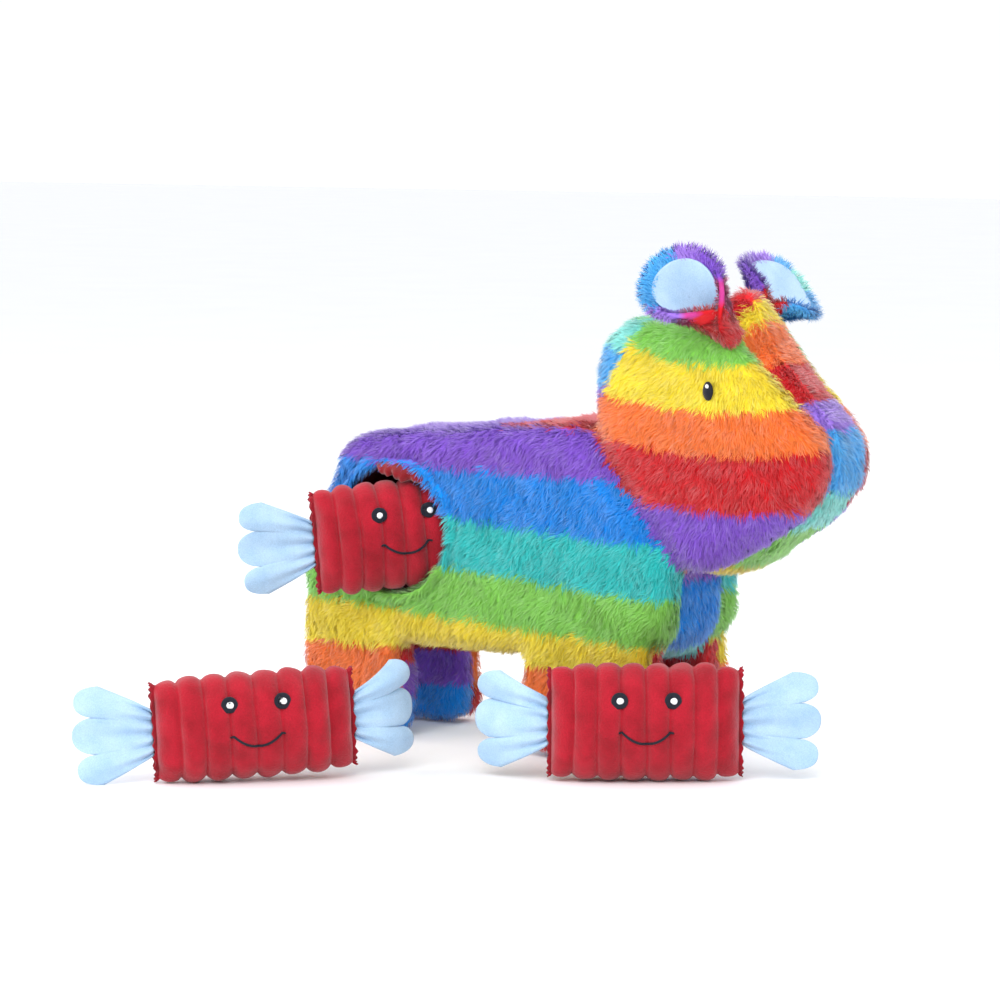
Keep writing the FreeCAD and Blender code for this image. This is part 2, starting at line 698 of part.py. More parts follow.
def check_all():
    """Stops if anything in the document failed or a piece isn't sound."""
    for obj in doc.Objects:
        if "Invalid" in obj.State or "Error" in obj.State:
            raise RuntimeError(f"{obj.Name} failed: {obj.State}")
    for node, piece in parts.items():
        shape = piece.Shape
        if shape.isNull() or not shape.isValid() or not shape.Solids:
            raise RuntimeError(f"{node} is empty or not valid")
        if shape.Volume <= 0:
            raise RuntimeError(f"{node} has no volume")


def write_parts():
    os.makedirs("parts", exist_ok=True)
    for node, piece in parts.items():
        piece.Shape.exportStep(os.path.join("parts", node + ".step"))


def build():
    fill_sheet()
    torso, legs = torso_and_legs()
    head = head_form()
    torso_core, head_core = core_of(torso), core_of(head)
    donkey_covers(torso, torso_core, legs, head, head_core)
    head_covers(torso, torso_core, head, head_core)
    pocket(torso_core)
    donkey_eyes()
    for side in EARS:
        ear(side)
    sweets()
    doc.recompute()
    check_all()
    to_footprint_middle()
    write_parts()


build()
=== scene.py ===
"""Looks of a stuffed rainbow donkey with a pocket in its flank and three stuffed sweets.

Metres, in the frame's own axes: +X from the rump to the nose, +Y to the donkey's left, +Z up.
Stripes and directions of the pile are laid out in millimetres from the rump, the middle plane
and the floor.
"""
import json
import math

import bpy
import numpy as np
from mathutils import Matrix, Vector
from mathutils.bvhtree import BVHTree
from mathutils.kdtree import KDTree


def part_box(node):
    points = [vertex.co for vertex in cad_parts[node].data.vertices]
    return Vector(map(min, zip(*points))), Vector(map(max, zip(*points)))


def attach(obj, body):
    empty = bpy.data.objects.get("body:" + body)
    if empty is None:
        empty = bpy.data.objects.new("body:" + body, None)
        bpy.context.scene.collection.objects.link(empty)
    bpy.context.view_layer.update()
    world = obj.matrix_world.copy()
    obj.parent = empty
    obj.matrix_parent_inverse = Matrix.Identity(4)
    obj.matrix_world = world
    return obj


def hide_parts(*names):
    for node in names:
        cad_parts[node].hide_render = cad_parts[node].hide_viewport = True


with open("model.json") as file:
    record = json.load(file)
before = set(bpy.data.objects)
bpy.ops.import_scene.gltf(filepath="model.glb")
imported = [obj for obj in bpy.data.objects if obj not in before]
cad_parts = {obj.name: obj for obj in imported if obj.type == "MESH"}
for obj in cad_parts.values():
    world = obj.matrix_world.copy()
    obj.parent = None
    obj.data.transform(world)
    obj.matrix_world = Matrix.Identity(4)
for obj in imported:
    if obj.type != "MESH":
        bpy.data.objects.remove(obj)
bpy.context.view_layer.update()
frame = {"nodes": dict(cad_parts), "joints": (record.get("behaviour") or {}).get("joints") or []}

MM = 0.001
JOINTS = {joint["name"]: joint for joint in frame["joints"]}
SWEETS = ("pocket_sweet", "front_sweet", "rear_sweet")
SIDES = {"right": -1, "left": 1}

# Where the donkey stands in the frame.
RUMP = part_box("right_side_panel")[0].x
MIDDLE = (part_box("belly_gusset")[0].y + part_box("belly_gusset")[1].y) / 2
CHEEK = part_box("left_head_panel")[1].y - MIDDLE

# The colour that is stored on a mesh, and the seeds of what is drawn at random.
DYE = "Dye"
CLOTH_DYE_SEED, EAR_DYE_SEED = 7, 8
LUMP_SEEDS = (11, 12)
PILE_SEED, EAR_PILE_SEED = 100, 400
BODY_SEED, EDGE_SEED, FRILL_SEED = 500, 520, 540

# Plush cloth under the pile.
VOXEL = 2.6 * MM
INSET = 3.4 * MM
SEAM_DEPTH = 2.2 * MM
SEAM_REACH = 5.0 * MM
CLOTH_THICKNESS = 1.2 * MM
LIP = 7.5 * MM

# Gathered cloth that stands up between the ears: place, spread and height.
FORELOCK = (244, 4, 216)
FORELOCK_SPREAD = 15
FORELOCK_HEIGHT = 15 * MM

# Pile: tufts to a square millimetre, length and width.
TUFTS = 1.55
PILE = 6.6
TUFT_WIDTH = 0.44

# Sweets.
WALES = 8
WALE_DEPTH = 3.6 * MM
PRESSURE_CAP = 3.0 * MM
END_SEAM = 2.6 * MM
EDGE_THICKNESS = 0.7 * MM
STITCHES_DEPTH = 1.6 * MM


def linear(red, green, blue):
    """A colour as seen on a screen, 0 to 255, in the renderer's linear values."""
    out = []
    for value in (red, green, blue):
        share = value / 255
        out.append(share / 12.92 if share <= 0.04045 else ((share + 0.055) / 1.055) ** 2.4)
    return tuple(out)


PALETTE = {
    "red": linear(214, 20, 30),
    "orange": linear(252, 124, 50),
    "yellow": linear(250, 226, 50),
    "green": linear(140, 216, 88),
    "teal": linear(44, 206, 202),
    "aqua": linear(132, 224, 214),
    "blue": linear(0, 142, 236),
    "sky": linear(72, 172, 236),
    "purple": linear(132, 82, 206),
    "lilac": linear(164, 122, 226),
    "magenta": linear(196, 60, 140),
}


# ---- meshes and vectors

def unit(vectors):
    """Rows scaled to length one."""
    return vectors / np.maximum(np.linalg.norm(vectors, axis=1, keepdims=True), 1e-9)


def waves(points, wavelength, seed):
    """Smooth noise from -1 to 1 that changes over about one wavelength."""
    rng = np.random.default_rng(seed)
    total = np.zeros(len(points))
    count = 7
    for _ in range(count):
        heading = unit(rng.normal(size=(1, 3)))[0]
        stretch = rng.uniform(0.7, 1.5)
        total += np.sin(points @ heading * (2 * math.pi * stretch / wavelength)
                        + rng.uniform(0, 2 * math.pi))
    return total / count * 1.7


def new_object(name, mesh):
    """An object in the scene with this mesh, curve, light or camera."""
    made = bpy.data.objects.new(name, mesh)
    bpy.context.scene.collection.objects.link(made)
    return made


def mesh_from(name, places, faces):
    """A smooth mesh from vertex places and faces that all have the same number of corners."""
    mesh = bpy.data.meshes.new(name)
    places = np.asarray(places, np.float32)
    faces = np.asarray(faces, np.int32)
    mesh.vertices.add(len(places))
    mesh.vertices.foreach_set("co", places.ravel())
    mesh.loops.add(faces.size)
    mesh.loops.foreach_set("vertex_index", faces.ravel())
    mesh.polygons.add(len(faces))
    mesh.polygons.foreach_set("loop_start", np.arange(len(faces), dtype=np.int32) * faces.shape[1])
    mesh.update(calc_edges=True)
    mesh.shade_smooth()
    return mesh


def mixed_mesh(name, places, faces):
    """A smooth mesh whose faces differ in their number of corners."""
    mesh = bpy.data.meshes.new(name)
    mesh.from_pydata([tuple(place) for place in places], [], faces)
    mesh.shade_smooth()
    return mesh


def rows_of(items, attribute, width, kind):
    """One attribute of all of a mesh's items, with a row for each item."""
    out = np.empty(len(items) * width, kind)
    items.foreach_get(attribute, out)
    return out.reshape(-1, width)


def places_of(mesh):
    """Where each vertex is."""
    return rows_of(mesh.vertices, "co", 3, np.float32).astype(float)


def normals_of(mesh):
    """The way out of the surface at each vertex."""
    return rows_of(mesh.vertex_normals, "vector", 3, np.float32).astype(float)


def triangles_of(mesh):
    """The vertices of each triangle."""
    mesh.calc_loop_triangles()
    return rows_of(mesh.loop_triangles, "vertices", 3, np.int32)


def edges_of(mesh):
    """The vertices of each edge."""
    return rows_of(mesh.edges, "vertices", 2, np.int32)


def move_to(mesh, places):
    """Gives the mesh's vertices new places."""
    mesh.vertices.foreach_set("co", places.astype(np.float32).ravel())
    mesh.update()


def thicken(piece, thickness, offset=-1):
    """Gives a sheet its thickness: behind it at offset -1, half each way at 0, before it at 1."""
    modifier = piece.modifiers.new("thickness", "SOLIDIFY")
    modifier.thickness = thickness
    modifier.offset = offset


def grid_faces(rows, columns, closed=False, flipped=False):
    """Four-cornered faces over rows of places. In a closed grid each row is a ring."""
    wide = columns if closed else columns + 1
    faces = []
    for row in range(rows):
        for column in range(columns):
            a, b = row * wide, (row + 1) * wide
            following = (column + 1) % wide
            quad = (a + column, b + column, b + following, a + following)
            faces.append((quad[0], quad[3], quad[2], quad[1]) if flipped else quad)
    return faces


def fan_faces(rings, turns, back=None):
    """Faces over a first place and the rings round it, closed over the place back if given."""
    rim = 1 + (rings - 1) * turns
    faces = []
    for turn in range(turns):
        following = (turn + 1) % turns
        faces.append((0, 1 + turn, 1 + following))
        for ring in range(rings - 1):
            a, b = 1 + ring * turns, 1 + (ring + 1) * turns
            faces.append((a + turn, b + turn, b + following, a + following))
        if back is not None:
            faces.append((back, rim + following, rim + turn))
    return faces


def final_mesh(made):
    """The object's mesh with its modifiers applied, as a mesh of its own."""
    graph = bpy.context.evaluated_depsgraph_get()
    return bpy.data.meshes.new_from_object(made.evaluated_get(graph))


def relax(places, edges, rounds, pull=0.5, push=-0.52):
    """Smooths without shrinking: each round pulls in and pushes back."""
    count = len(places)
    degree = np.maximum(np.bincount(edges.ravel(), minlength=count), 1)
    for _ in range(rounds):
        for share in (pull, push):
            total = np.empty_like(places)
            for axis in range(3):
                total[:, axis] = (
                    np.bincount(edges[:, 0], places[edges[:, 1], axis], count)
                    + np.bincount(edges[:, 1], places[edges[:, 0], axis], count))
            places = places + share * (total / degree[:, None] - places)
    return places


def donkey_mm(places):
    """Millimetres ahead of the rump, to the left of the middle plane and above the floor."""
    return (places - np.array([RUMP, MIDDLE, 0.0])) / MM


def paint(mesh, colours):
    """Stores a colour for each vertex."""
    layer = mesh.color_attributes.new(DYE, "FLOAT_COLOR", "POINT")
    full = np.ones((len(colours), 4), np.float32)
    full[:, :3] = colours
    layer.data.foreach_set("color", full.ravel())


# ---- materials

def new_material(name, roughness, sheen=0.0, sheen_roughness=0.5):
    """A material whose Principled shader has its constants on its own sockets."""
    made = bpy.data.materials.new(name)
    made.use_nodes = True
    shader = made.node_tree.nodes["Principled BSDF"]
    shader.inputs["Roughness"].default_value = roughness
    shader.inputs["Sheen Weight"].default_value = sheen
    shader.inputs["Sheen Roughness"].default_value = sheen_roughness
    shader.inputs["Specular IOR Level"].default_value = 0.25
    return made, made.node_tree, shader


def noise_node(tree, scale, detail=3.0, stretch=None):
    """Noise in the object's own coordinates, drawn out along an axis if stretch says so."""
    where = tree.nodes.new("ShaderNodeTexCoord")
    noise = tree.nodes.new("ShaderNodeTexNoise")
    noise.inputs["Scale"].default_value = scale
    noise.inputs["Detail"].default_value = detail
    source = where.outputs["Object"]
    if stretch:
        mapping = tree.nodes.new("ShaderNodeMapping")
        mapping.inputs["Scale"].default_value = stretch
        tree.links.new(source, mapping.inputs["Vector"])
        source = mapping.outputs["Vector"]
    tree.links.new(source, noise.inputs["Vector"])
    return noise.outputs["Fac"]


def ramp(tree, fac, low, high, start=0.3, end=0.7):
    """Colours between low and high as fac goes from start to end."""
    node = tree.nodes.new("ShaderNodeValToRGB")
    for element, place, colour in zip(node.color_ramp.elements, (start, end), (low, high)):
        element.position = place
        element.color = (*colour, 1)
    tree.links.new(fac, node.inputs["Fac"])
    return node.outputs["Color"]


def multiply(tree, one, other):
    """One colour times another."""
    node = tree.nodes.new("ShaderNodeMix")
    node.data_type = "RGBA"
    node.blend_type = "MULTIPLY"
    node.inputs["Factor"].default_value = 1
    tree.links.new(one, node.inputs["A"])
    tree.links.new(other, node.inputs["B"])
    return node.outputs["Result"]


def bump(tree, shader, height, strength, distance):
    """Tilts the shader's normals as if the surface rose by height."""
    node = tree.nodes.new("ShaderNodeBump")
    node.inputs["Strength"].default_value = strength
    node.inputs["Distance"].default_value = distance
    tree.links.new(height, node.inputs["Height"])
    tree.links.new(node.outputs["Normal"], shader.inputs["Normal"])


def dyed_material(name, roughness, sheen, grain, depth):
    """Cloth or pile whose colour is stored on the mesh, with a fine uneven grain."""
    made, tree, shader = new_material(name, roughness, sheen)
    dye = tree.nodes.new("ShaderNodeVertexColor")
    dye.layer_name = DYE
    fine = noise_node(tree, grain)
    shade = ramp(tree, fine, (0.9, 0.9, 0.9), (1.0, 1.0, 1.0))
    tree.links.new(multiply(tree, dye.outputs["Color"], shade), shader.inputs["Base Color"])
    bump(tree, shader, fine, 0.5, depth)
    return made


def cloth_material(name, low, high, roughness, sheen, grain, depth, stretch=None):
    """Plain dyed cloth: two close shades in patches, and a fine grain that also raises it."""
    made, tree, shader = new_material(name, roughness, sheen)
    patches = ramp(tree, noise_node(tree, 90, 4), low, high)
    fine = noise_node(tree, grain, 5, stretch)
    shade = ramp(tree, fine, (0.84, 0.84, 0.84), (1.0, 1.0, 1.0), 0.35, 0.65)
    tree.links.new(multiply(tree, patches, shade), shader.inputs["Base Color"])
    bump(tree, shader, fine, 0.6, depth)
    return made


def thread_material(name, low, high):
    """Satin stitches laid side by side, with a slight gloss."""
    made, tree, shader = new_material(name, 0.42, 0.1)
    where = tree.nodes.new("ShaderNodeTexCoord")
    lines = tree.nodes.new("ShaderNodeTexWave")
    lines.wave_type = "BANDS"
    lines.bands_direction = "X"
    lines.inputs["Scale"].default_value = 900
    lines.inputs["Distortion"].default_value = 2.0
    lines.inputs["Detail Scale"].default_value = 3.0
    tree.links.new(where.outputs["Object"], lines.inputs["Vector"])
    tree.links.new(ramp(tree, lines.outputs["Fac"], low, high), shader.inputs["Base Color"])
    bump(tree, shader, lines.outputs["Fac"], 0.5, 0.0002)
    return made


def plastic_material(name, low, high):
    """Moulded translucent-looking plastic with faint flow marks."""
    made, tree, shader = new_material(name, 0.38)
    flow = noise_node(tree, 60, 3, (1, 1, 4))
    tree.links.new(ramp(tree, flow, low, high), shader.inputs["Base Color"])
    bump(tree, shader, flow, 0.15, 0.0002)
    return made


MATERIALS = {
    "pile": dyed_material("rainbow_pile", 0.62, 0.35, 900, 0.0002),
    "backing": dyed_material("pile_backing", 0.9, 0.1, 700, 0.0006),
    "corduroy": cloth_material("red_corduroy", linear(150, 8, 28), linear(182, 16, 40),
                               0.9, 0.25, 1300, 0.0007),
    "corduroy_edge": cloth_material("frayed_corduroy", linear(134, 8, 26),
                                    linear(170, 14, 38), 0.95, 0.2, 2200, 0.0006),
    "felt": cloth_material("pale_blue_felt", linear(162, 196, 226), linear(180, 210, 236),
                           0.85, 0.25, 1800, 0.00025),
    "ear_lining": cloth_material("pale_blue_lining", linear(160, 192, 220),
                                 linear(180, 208, 232), 0.8, 0.25, 2000, 0.0002),
    "pocket_lining": cloth_material("dark_red_lining", linear(112, 6, 16),
                                    linear(152, 12, 26), 0.9, 0.3, 1400, 0.0005),
    "black_thread": thread_material("black_embroidery", linear(4, 6, 18), linear(22, 26, 44)),
    "white_thread": thread_material("white_embroidery", linear(236, 238, 242),
                                    linear(255, 255, 255)),
    "squeaker": plastic_material("squeaker_plastic", linear(226, 226, 220),
                                 linear(240, 240, 236)),
}


# ---- stripes

def bands(height, edges, names):
    """Colours of stripes laid one over the other: names from the lowest up, edges between."""
    table = np.array([PALETTE[name] for name in names])
    level = np.zeros(len(height), int)
    for edge in edges:
        level += height > edge
    return table[level]


def flank_stripes(p):
    """Stripes of a side panel. Over the back the cloth's height runs on towards the spine."""
    ahead, side, up = p.T
    over = np.clip((up - 140) / 25, 0, 1)
    height = up + 0.6 * over * np.clip(43 - np.abs(side), 0, None)
    edges = (18,
             49 - 0.02 * (ahead - 60),
             64 - 0.063 * (ahead - 150),
             88.5 - 0.07 * (ahead - 157),
             113.5 - 0.07 * (ahead - 165),
             142 - 0.02 * (ahead - 150),
             169 + 0.4 * np.clip(128 - ahead, 0, None))
    return bands(height, edges, ("red", "orange", "yellow", "green", "teal", "blue",
                                 "purple", "red"))


def cheek_stripes(p):
    """Stripes of a head panel, each sagging a little in the middle."""
    ahead, _, up = p.T
    from_middle = (ahead - 248) ** 2
    edges = (128.5 + 0.0015 * from_middle,
             155.8 + 0.0013 * from_middle,
             176.8 + 0.0015 * from_middle,
             199.0 + 0.0034 * from_middle)
    cheek = bands(up, edges, ("purple", "red", "orange", "yellow", "green"))
    behind = (ahead < 184 + 0.6 * (up - 182)) & (up > 178)
    return np.where(behind[:, None], nape_stripes(p), cheek)


def forehead_stripes(p):
    """Stripes across the strip that runs over the forehead, round the nose and under the chin."""
    turn = np.degrees(np.arctan2(p[:, 2] - 165, p[:, 0] - 250))
    return bands(turn, (-105, -91, -60, -33, 2.7, 27, 67, 88, 93),
                 ("orange", "yellow", "green", "aqua", "sky", "lilac", "red", "orange",
                  "yellow", "red"))


def nape_stripes(p):
    """Stripes over the back of the head, level."""
    return bands(p[:, 2], (186, 205, 217), ("purple", "sky", "aqua", "green"))


def chest_stripes(p):
    """Stripes across the chest, level."""
    return bands(p[:, 2], (58, 92), ("aqua", "blue", "purple"))


def belly_stripes(p):
    """Stripes across the belly, from the rump forwards."""
    return bands(p[:, 0], (84, 104, 124), ("teal", "blue", "purple", "red"))


def rump_stripes(p):
    """Stripes across the rump, level."""
    return bands(p[:, 2], (40, 84, 104), ("red", "orange", "yellow", "green"))


def inner_leg_stripes(p):
    """Stripes on the inner sides of the legs, level."""
    return bands(p[:, 2], (22, 40), ("blue", "purple", "red"))


def down_and_back(p):
    """Pile of the flanks: down, a little to the rump and away from the spine."""
    return np.column_stack([np.full(len(p), -0.5), 0.35 * np.sign(p[:, 1]),
                            np.full(len(p), -1.0)])


def out_from_the_eye(p):
    """Pile of the cheeks: away from a place behind the nose, and mostly down."""
    return np.column_stack([(p[:, 0] - 255) / 75, 0 * p[:, 1], -0.6 + (p[:, 2] - 190) / 200])


def back_over_the_head(p):
    """Pile along the middle of the head: back, down and to both sides."""
    return np.column_stack([np.full(len(p), -0.4), 0.3 * np.sign(p[:, 1]),
                            np.full(len(p), -0.7)])


def straight_down(p):
    """Pile of the gussets and the inner legs."""
    return np.column_stack([np.full(len(p), -0.15), 0 * p[:, 1], np.full(len(p), -1.0)])


# Each plush node's stripes, where its pile points, and its pile's share of the full length.
PLUSH = {
    "right_side_panel": (flank_stripes, down_and_back, 1.0),
    "left_side_panel": (flank_stripes, down_and_back, 1.0),
    "belly_gusset": (belly_stripes, straight_down, 0.8),
    "chest_gusset": (chest_stripes, straight_down, 0.9),
    "rump_gusset": (rump_stripes, straight_down, 0.9),
    "right_head_panel": (cheek_stripes, out_from_the_eye, 0.85),
    "left_head_panel": (cheek_stripes, out_from_the_eye, 0.85),
    "head_gusset": (forehead_stripes, back_over_the_head, 0.85),
    "nape_gusset": (nape_stripes, back_over_the_head, 0.95),
}
PLUSH.update({f"{place}_{side}_inner_leg_panel": (inner_leg_stripes, straight_down, 0.8)
              for place in ("front", "rear") for side in SIDES})

# The stuffing that each cloth piece stands for as well as its own panel.
FILLS = {
    "right_side_panel": ("body_stuffing", "front_right_leg_stuffing",
                         "rear_right_leg_stuffing"),
    "left_side_panel": ("front_left_leg_stuffing", "rear_left_leg_stuffing"),
    "right_head_panel": ("head_stuffing",),
}


# ---- pile

def soft_colours(colours, roots, seed, tip=False):
    """Uneven dye in slow drifts of lightness. With tip, the colour is also mixed towards white in
    streaks, so the tips come out paler than the roots.
    """
    slow = waves(roots, 26 * MM, seed)
    streak = waves(roots * np.array([3.2, 3.2, 1.0]), 12 * MM, seed + 1)
    lightness = 1.0 + 0.08 * slow
    if not tip:
        return np.clip(colours * lightness[:, None], 0, 1)
    pale = np.clip(0.03 + 0.08 * streak, 0, 0.14)[:, None]
    return np.clip(colours * lightness[:, None] * (1 - pale) + pale, 0, 1)


def grow_pile(name, mesh, chosen, stripes, heading, share, seed, tufts=TUFTS, spare=None):
    """Tapering, bent tufts over the chosen triangles of a mesh.

    stripes and heading are given the roots in the donkey's millimetres; spare says which roots
    stay bare."""
    places, normals, triangles = places_of(mesh), normals_of(mesh), triangles_of(mesh)
    triangles = triangles[chosen(triangles)]
    a, b, c = (places[triangles[:, k]] for k in range(3))
    areas = np.linalg.norm(np.cross(b - a, c - a), axis=1) / 2
    rng = np.random.default_rng(seed)
    count = int(areas.sum() / MM ** 2 * tufts)
    which = rng.choice(len(triangles), count, p=areas / areas.sum())
    u, v = rng.random((2, count))
    fold = u + v > 1
    u[fold], v[fold] = 1 - u[fold], 1 - v[fold]
    weights = np.column_stack([1 - u - v, u, v])
    roots = sum(weights[:, [k]] * places[triangles[which, k]] for k in range(3))
    out = unit(sum(weights[:, [k]] * normals[triangles[which, k]] for k in range(3)))
    if spare is not None:
        kept = ~spare(donkey_mm(roots))
        roots, out = roots[kept], out[kept]
        count = len(roots)
    lie = heading(donkey_mm(roots))
    lie = unit(lie - out * np.sum(lie * out, axis=1, keepdims=True) + 1e-6)
    across = np.cross(out, lie)
    swirl = 0.55 * waves(roots, 15 * MM, seed + 2) + 0.5 * waves(roots, 5 * MM, seed + 3)
    swirl += rng.normal(0, 0.16, count)
    lie = unit(lie * np.cos(swirl)[:, None] + across * np.sin(swirl)[:, None])
    lift = 0.18 * waves(roots, 6 * MM, seed + 4) + rng.normal(0, 0.09, count)
    length = PILE * MM * share * rng.uniform(0.72, 1.12, count)
    side = np.cross(out, lie)
    roll = rng.uniform(-0.55, 0.55, count)
    side = side * np.cos(roll)[:, None] + out * np.sin(roll)[:, None]
    half = side * (TUFT_WIDTH * MM / 2 * rng.uniform(0.7, 1.2, count))[:, None]

    def step(angle):
        angle = (angle + lift)[:, None]
        return (lie * np.cos(angle) + out * np.sin(angle)) * length[:, None] / 2

    roots = roots - out * 0.3 * MM
    bend = roots + step(0.7)
    tips = bend + step(0.2)
    spots = np.stack([roots - half, roots + half, bend - half * 0.8, bend + half * 0.8, tips], 1)
    spots[..., 2] = np.maximum(spots[..., 2], 0.25 * MM)
    base = np.arange(count)[:, None, None] * 5
    faces = (base + np.array([[0, 3, 1], [0, 2, 3], [2, 4, 3]])).reshape(-1, 3)
    pile = mesh_from(name, spots.reshape(-1, 3), faces)
    jitter = waves(donkey_mm(roots), 9, seed + 5)[:, None] * 1.1 + rng.normal(0, 0.8, (count, 1))
    dye = stripes(donkey_mm(roots) + jitter)
    dark, light = soft_colours(dye, roots, seed), soft_colours(dye, roots, seed, tip=True)
    tint = rng.uniform(0.92, 1.06, (count, 1))
    ends = (dark, dark, (dark + light) / 2, (dark + light) / 2, light)
    paint(pile, np.clip(np.stack(ends, 1) * tint[:, :, None], 0, 1).reshape(-1, 3))
    leaning = unit(out * 0.8 + lie * 0.25 + rng.normal(0, 0.12, (count, 3)))
    pile.normals_split_custom_set_from_vertices(np.repeat(leaning, 5, axis=0).tolist())
    pile.materials.append(MATERIALS["pile"])
    return new_object(name, pile)


# ---- donkey's cloth

def cad_triangles(nodes):
    """Vertices and triangles of CAD nodes together, and the node each triangle is from."""
    places, triangles, owner, start = [], [], [], 0
    for number, node in enumerate(nodes):
        mesh = frame["nodes"][node].data
        own = places_of(mesh)
        faces = triangles_of(mesh)
        places.append(own)
        triangles.append(faces + start)
        owner.append(np.full(len(faces), number))
        start += len(own)
    return np.concatenate(places), np.concatenate(triangles), np.concatenate(owner)


def whole_skin():
    """One smooth closed skin over every stuffed piece of the donkey and inside its pocket."""
    fills = [node for nodes in FILLS.values() for node in nodes]
    places, triangles, _ = cad_triangles([*PLUSH, "pocket_lining", *fills])
    rough = new_object("rough_skin", mesh_from("rough_skin", places, triangles))
    remesh = rough.modifiers.new("remesh", "REMESH")
    remesh.mode = "VOXEL"
    remesh.voxel_size = VOXEL
    skin = final_mesh(rough)
    bpy.data.objects.remove(rough)
    return skin


def owners_of(places, nodes):
    """For each place, the number of the CAD node whose surface is nearest."""
    cad_places, triangles, owner = cad_triangles(nodes)
    tree = BVHTree.FromPolygons(cad_places.tolist(), triangles.tolist())
    found = [tree.find_nearest(place)[2] for place in places.tolist()]
    return owner[np.array(found)]


def seam_distance(places, edges, owner):
    """How far each place is from the nearest seam between two pieces."""
    crossing = edges[owner[edges[:, 0]] != owner[edges[:, 1]]]
    middles = places[crossing].mean(1)
    tree = KDTree(len(middles))
    for number, middle in enumerate(middles.tolist()):
        tree.insert(middle, number)
    tree.balance()
    return np.array([tree.find(place)[2] for place in places.tolist()])


def shape_skin(mesh, nodes):
    """Softens the skin, sinks it by the pile's depth, puckers its seams and makes it uneven."""
    edges = edges_of(mesh)
    places = relax(places_of(mesh), edges, 8)
    owner = owners_of(places, nodes)
    distance = seam_distance(places, edges, owner)
    move_to(mesh, places)
    out = normals_of(mesh)
    cloth = owner != nodes.index("pocket_lining")
    sink = INSET + SEAM_DEPTH * np.exp(-(distance / SEAM_REACH) ** 2)
    broad = 0.9 * MM * waves(places, 46 * MM, LUMP_SEEDS[0])
    lumps = broad + 0.5 * MM * waves(places, 19 * MM, LUMP_SEEDS[1])
    places = places + out * ((lumps - sink) * cloth)[:, None]
    from_forelock = np.linalg.norm(donkey_mm(places) - np.array(FORELOCK), axis=1)
    places[:, 2] += FORELOCK_HEIGHT * np.exp(-(from_forelock / FORELOCK_SPREAD) ** 2)
    move_to(mesh, relax(places, edges, 2))
    return owner


def part_of(mesh, faces, name):
    """The chosen faces of a mesh, all with four corners, as a mesh of their own."""
    used, renumbered = np.unique(faces, return_inverse=True)
    return mesh_from(name, places_of(mesh)[used], renumbered.reshape(faces.shape))


def donkey():
    """Every cloth piece of the donkey with its pile, and the pocket's lining."""
    nodes = [*PLUSH, "pocket_lining"]
    skin = whole_skin()
    owner = shape_skin(skin, nodes)
    quads = rows_of(skin.loops, "vertex_index", 1, np.int32).reshape(-1, 4)
    by_face = np.array([np.bincount(row, minlength=len(nodes)).argmax()
                        for row in owner[quads]])
    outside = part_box("right_side_panel")[0].y
    lip = places_of(skin)[quads].mean(1)[:, 1] < outside + LIP
    by_face[(by_face == nodes.index("pocket_lining")) & lip] = nodes.index("right_side_panel")
    skin.calc_loop_triangles()
    triangle_faces = rows_of(skin.loop_triangles, "polygon_index", 1, np.int32).ravel()
    for number, node in enumerate(nodes):
        mesh = part_of(skin, quads[by_face == number], node + "_cloth")
        piece = new_object(node + "_cloth", mesh)
        thicken(piece, CLOTH_THICKNESS)
        if node == "pocket_lining":
            mesh.materials.append(MATERIALS["pocket_lining"])
            wear(piece, "donkey", [node])
            continue
        stripes, heading, share = PLUSH[node]
        dye = stripes(donkey_mm(places_of(mesh)))
        # The backing's colour is painted a tenth lighter than its stripes: painted light that
        # lifts the shade between the tufts.
        paint(mesh, soft_colours(dye, places_of(mesh), CLOTH_DYE_SEED) * 1.1)
        mesh.materials.append(MATERIALS["backing"])
        wear(piece, "donkey", [node, *FILLS.get(node, ())])
        pile = grow_pile(node + "_pile", skin,
                         lambda triangles, n=number: by_face[triangle_faces] == n,
                         stripes, heading, share, PILE_SEED + number * 10,
                         spare=round_the_eye)
        wear(pile, "donkey")


def wear(piece, body, replaced=()):
    """The piece moves with a body and stands for CAD nodes, which it hides."""
    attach(piece, body)
    if replaced:
        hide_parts(*replaced)
    return piece


# ---- donkey's eyes

EYE = (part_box("right_eye")[0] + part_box("right_eye")[1]) / 2
EYE_HALF = (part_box("right_eye")[1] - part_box("right_eye")[0]) / 2


def round_the_eye(p):
    """True where the pile is held down by the embroidery."""
    ahead = (p[:, 0] - (EYE.x - RUMP) / MM) / (EYE_HALF.x / MM * 0.7)
    up = (p[:, 2] - EYE.z / MM) / (EYE_HALF.z / MM * 0.7)
    return (np.abs(p[:, 1]) > CHEEK / MM * 0.6) & (ahead ** 2 + up ** 2 < 1)


def dome(name, centre, across, up, out, half_wide, half_tall, height, rings=10, turns=36):
    """A low oval dome of stitching with a soft edge, closed at the back."""
    places = [centre + out * height]
    for ring in range(1, rings + 1):
        share = ring / rings
        rise = height * (1 - share ** 2.2)
        for turn in range(turns):
            angle = 2 * math.pi * turn / turns
            places.append(centre + across * (half_wide * share * math.cos(angle))
                          + up * (half_tall * share * math.sin(angle)) + out * rise)
    places.append(centre - out * height)
    return new_object(name, mixed_mesh(name, places, fan_faces(rings, turns, len(places) - 1)))


